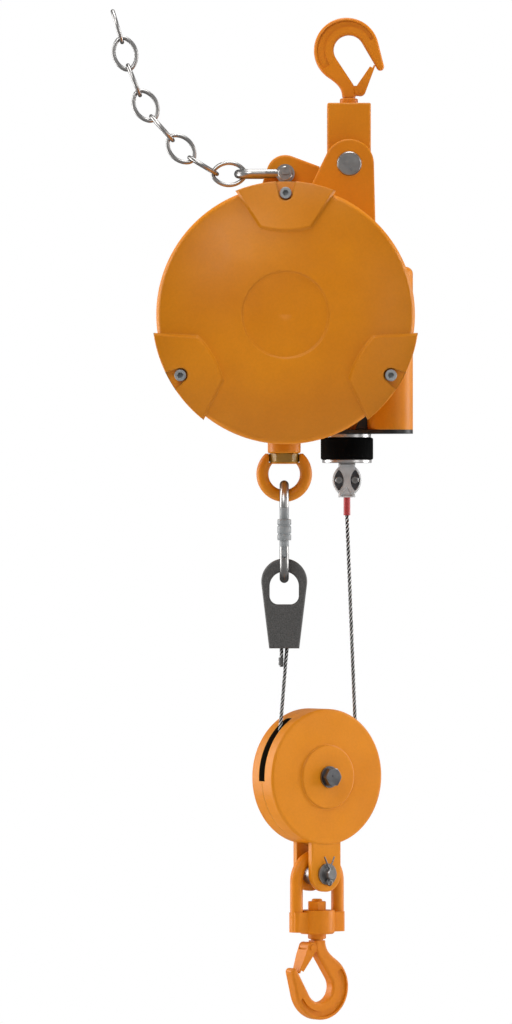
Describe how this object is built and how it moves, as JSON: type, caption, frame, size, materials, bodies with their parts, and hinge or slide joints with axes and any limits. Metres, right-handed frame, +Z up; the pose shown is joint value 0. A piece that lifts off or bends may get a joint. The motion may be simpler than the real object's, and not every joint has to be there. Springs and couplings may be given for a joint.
{
  "type": "tool balancer",
  "caption": "Spring tool balancer hung on a swivel hook, with a rope stop, a pulley block on two rope falls, a swivel load hook and a safety chain.",
  "frame": {"origin": "saddle of the top hook, where it hangs on its support", "axes": "+Z up, -Y towards the viewer of the front cover, +X to that viewer's right"},
  "size_m": [0.3435, 0.1915, 1.1365],
  "materials": {
    "yellow_paint": "yellow-orange powder coat, satin",
    "forged_zinc": "zinc-plated forging",
    "pressed_zinc": "zinc-plated sheet",
    "bright_zinc": "bright zinc",
    "steel": "turned steel",
    "black_screw": "socket screw",
    "black_plate": "black paint",
    "rubber": "black rubber",
    "brass": "yellow-passivated nut",
    "cast_dark": "rough dark casting",
    "die_cast": "die cast",
    "cast_wheel": "machined casting",
    "bronze": "bronze",
    "red_plastic": "red plastic",
    "wire_rope": "galvanised strands"
  },
  "bodies": {
    "hook": {"top_hook": "forged_zinc", "top_hook_nut": "steel"},
    "top_latch": {"top_latch": "pressed_zinc"},
    "block": {"suspension_block": "yellow_paint"},
    "balancer": {"housing": "yellow_paint", "front_cover": "yellow_paint", "suspension_pin": "steel", "cover_screw_1": "black_screw", "cover_screw_2": "black_screw", "cover_screw_3": "black_screw", "front_bearing": "steel", "rear_bearing": "steel", "bottom_plate": "black_plate", "upper_disc": "steel", "rubber_buffer": "rubber", "lower_disc": "steel", "eye_bolt": "forged_zinc", "eye_nut": "brass", "carabiner": "bright_zinc", "wedge_socket": "cast_dark", "wedge": "cast_dark", "rope_tail": "wire_rope", "tail_clip": "die_cast", "rope_left_fall": "wire_rope"},
    "drum": {"rope_drum": "die_cast", "arbor_shaft": "steel"},
    "barrel": {"spring_barrel": "cast_wheel", "power_spring": "steel"},
    "worm": {"worm_spindle": "steel"},
    "gate": {"carabiner_gate": "bright_zinc"},
    "gate_sleeve": {"gate_sleeve": "bright_zinc"},
    "rope_stop": {"rope_stop_front": "die_cast", "rope_stop_rear": "die_cast", "rope_sleeve": "red_plastic", "rope_feed": "wire_rope", "rope_right_fall": "wire_rope"},
    "pulley_block": {"pulley_front_shell": "yellow_paint", "pulley_rear_shell": "yellow_paint", "pulley_bolt": "steel", "pulley_nut": "steel", "clevis_pin": "steel", "split_pin": "steel", "rope_wrap": "wire_rope"},
    "sheave": {"sheave": "cast_wheel", "sheave_bush": "bronze"},
    "stirrup": {"stirrup": "forged_zinc", "pin_bush": "steel"},
    "load_hook": {"load_hook": "forged_zinc", "load_hook_nut": "steel"},
    "load_latch": {"load_latch": "pressed_zinc"},
    "shackle": {"shackle_bow": "bright_zinc", "shackle_pin": "bright_zinc"},
    "link_1": {"chain_link_1": "bright_zinc"},
    "link_2": {"chain_link_2": "bright_zinc"},
    "link_3": {"chain_link_3": "bright_zinc"},
    "link_4": {"chain_link_4": "bright_zinc"},
    "link_5": {"chain_link_5": "bright_zinc"},
    "link_6": {"chain_link_6": "bright_zinc"},
    "link_7": {"chain_link_7": "bright_zinc"},
    "link_8": {"chain_link_8": "bright_zinc"}
  },
  "joints": [
    {"name": "hook_swivel", "type": "hinge", "parent": "hook", "child": "block", "pos_m": [0, 0, -0.0775], "axis": [0, 0, 1], "continuous": true},
    {"name": "suspension_swing", "type": "hinge", "parent": "block", "child": "balancer", "pos_m": [0, 0, -0.1465], "axis": [0, 1, 0], "range_deg": [0, 20]},
    {"name": "top_latch", "type": "hinge", "parent": "hook", "child": "top_latch", "pos_m": [0.0128, 0, -0.0625], "axis": [0, 1, 0], "range_deg": [-30, 0], "stiffness_Nm_per_rad": 0.05, "springref_deg": 22.92},
    {"name": "rope_travel", "type": "slide", "parent": "balancer", "child": "rope_stop", "axis": [0, 0, 1], "range_m": [-0.36, 0], "stiffness_N_per_m": 10, "springref_m": 6, "deforming": ["rope_feed", "rope_right_fall", "rope_left_fall"]},
    {"name": "drum_turn", "type": "hinge", "parent": "balancer", "child": "drum", "pos_m": [-0.0717, 0, -0.3179], "axis": [0, 1, 0], "range_deg": [0, 297.78]},
    {"name": "block_travel", "type": "slide", "parent": "rope_stop", "child": "pulley_block", "axis": [0, 0, 1], "range_m": [0, 0.1805]},
    {"name": "sheave_turn", "type": "hinge", "parent": "pulley_block", "child": "sheave", "pos_m": [-0.0361, -0.02415, -0.8342], "axis": [-0.5802, 0.8145, 0], "range_deg": [0, 186]},
    {"name": "worm_turn", "type": "hinge", "parent": "balancer", "child": "worm", "pos_m": [0.0458, -0.03, -0.4448], "axis": [0, 0, 1], "continuous": true},
    {"name": "barrel_turn", "type": "hinge", "parent": "balancer", "child": "barrel", "pos_m": [-0.0717, 0, -0.3179], "axis": [0, 1, 0], "continuous": true},
    {"name": "gate_turn", "type": "hinge", "parent": "balancer", "child": "gate", "pos_m": [-0.073, -0.07215, -0.5837], "axis": [1, 0, 0], "range_deg": [-22, 0], "stiffness_Nm_per_rad": 0.05, "springref_deg": 22.92},
    {"name": "sleeve_slide", "type": "slide", "parent": "gate", "child": "gate_sleeve", "axis": [0, 0, 1], "range_m": [0, 0.013]},
    {"name": "stirrup_swing", "type": "hinge", "parent": "pulley_block", "child": "stirrup", "pos_m": [-0.0361, -0.02415, -0.9433], "axis": [-0.5802, 0.8145, 0], "range_deg": [-45, 45]},
    {"name": "load_swivel", "type": "hinge", "parent": "stirrup", "child": "load_hook", "pos_m": [-0.0361, -0.02415, -1.0108], "axis": [0, 0, 1], "continuous": true},
    {"name": "load_latch", "type": "hinge", "parent": "load_hook", "child": "load_latch", "pos_m": [-0.04652, -0.03158, -1.0258], "axis": [-0.5802, 0.8145, 0], "range_deg": [-30, 0], "stiffness_Nm_per_rad": 0.05, "springref_deg": 22.92},
    {"name": "shackle_swing", "type": "hinge", "parent": "balancer", "child": "shackle", "pos_m": [-0.0717, 0, -0.1566], "axis": [0, 1, 0], "range_deg": [-12, 30]},
    {"name": "link_1_turn", "type": "hinge", "parent": "shackle", "child": "link_1", "pos_m": [-0.1243, 0, -0.1566], "axis": [0, -1, 0], "range_deg": [-30, 30]},
    {"name": "link_2_turn", "type": "hinge", "parent": "link_1", "child": "link_2", "pos_m": [-0.14855, 0, -0.1566], "axis": [0, 1, 0], "range_deg": [-30, 30]},
    {"name": "link_3_turn", "type": "hinge", "parent": "link_2", "child": "link_3", "pos_m": [-0.17966, 0, -0.1379], "axis": [0, -1, 0], "range_deg": [-30, 30]},
    {"name": "link_4_turn", "type": "hinge", "parent": "link_3", "child": "link_4", "pos_m": [-0.19835, 0, -0.11855], "axis": [0, 1, 0], "range_deg": [-30, 30]},
    {"name": "link_5_turn", "type": "hinge", "parent": "link_4", "child": "link_5", "pos_m": [-0.22264, 0, -0.09158], "axis": [0, -1, 0], "range_deg": [-30, 30]},
    {"name": "link_6_turn", "type": "hinge", "parent": "link_5", "child": "link_6", "pos_m": [-0.23527, 0, -0.06783], "axis": [0, 1, 0], "range_deg": [-30, 30]},
    {"name": "link_7_turn", "type": "hinge", "parent": "link_6", "child": "link_7", "pos_m": [-0.24887, 0, -0.03417], "axis": [0, -1, 0], "range_deg": [-30, 30]},
    {"name": "link_8_turn", "type": "hinge", "parent": "link_7", "child": "link_8", "pos_m": [-0.25538, 0, -0.00807], "axis": [0, 1, 0], "range_deg": [-30, 30]}
  ],
  "couplings": [
    {"joint": "drum_turn", "follows": "rope_travel", "rad_per_m": -14.388},
    {"joint": "block_travel", "follows": "rope_travel", "ratio": -0.5},
    {"joint": "sheave_turn", "follows": "rope_travel", "rad_per_m": -8.9286},
    {"joint": "worm_turn", "follows": "barrel_turn", "ratio": 60}
  ]
}
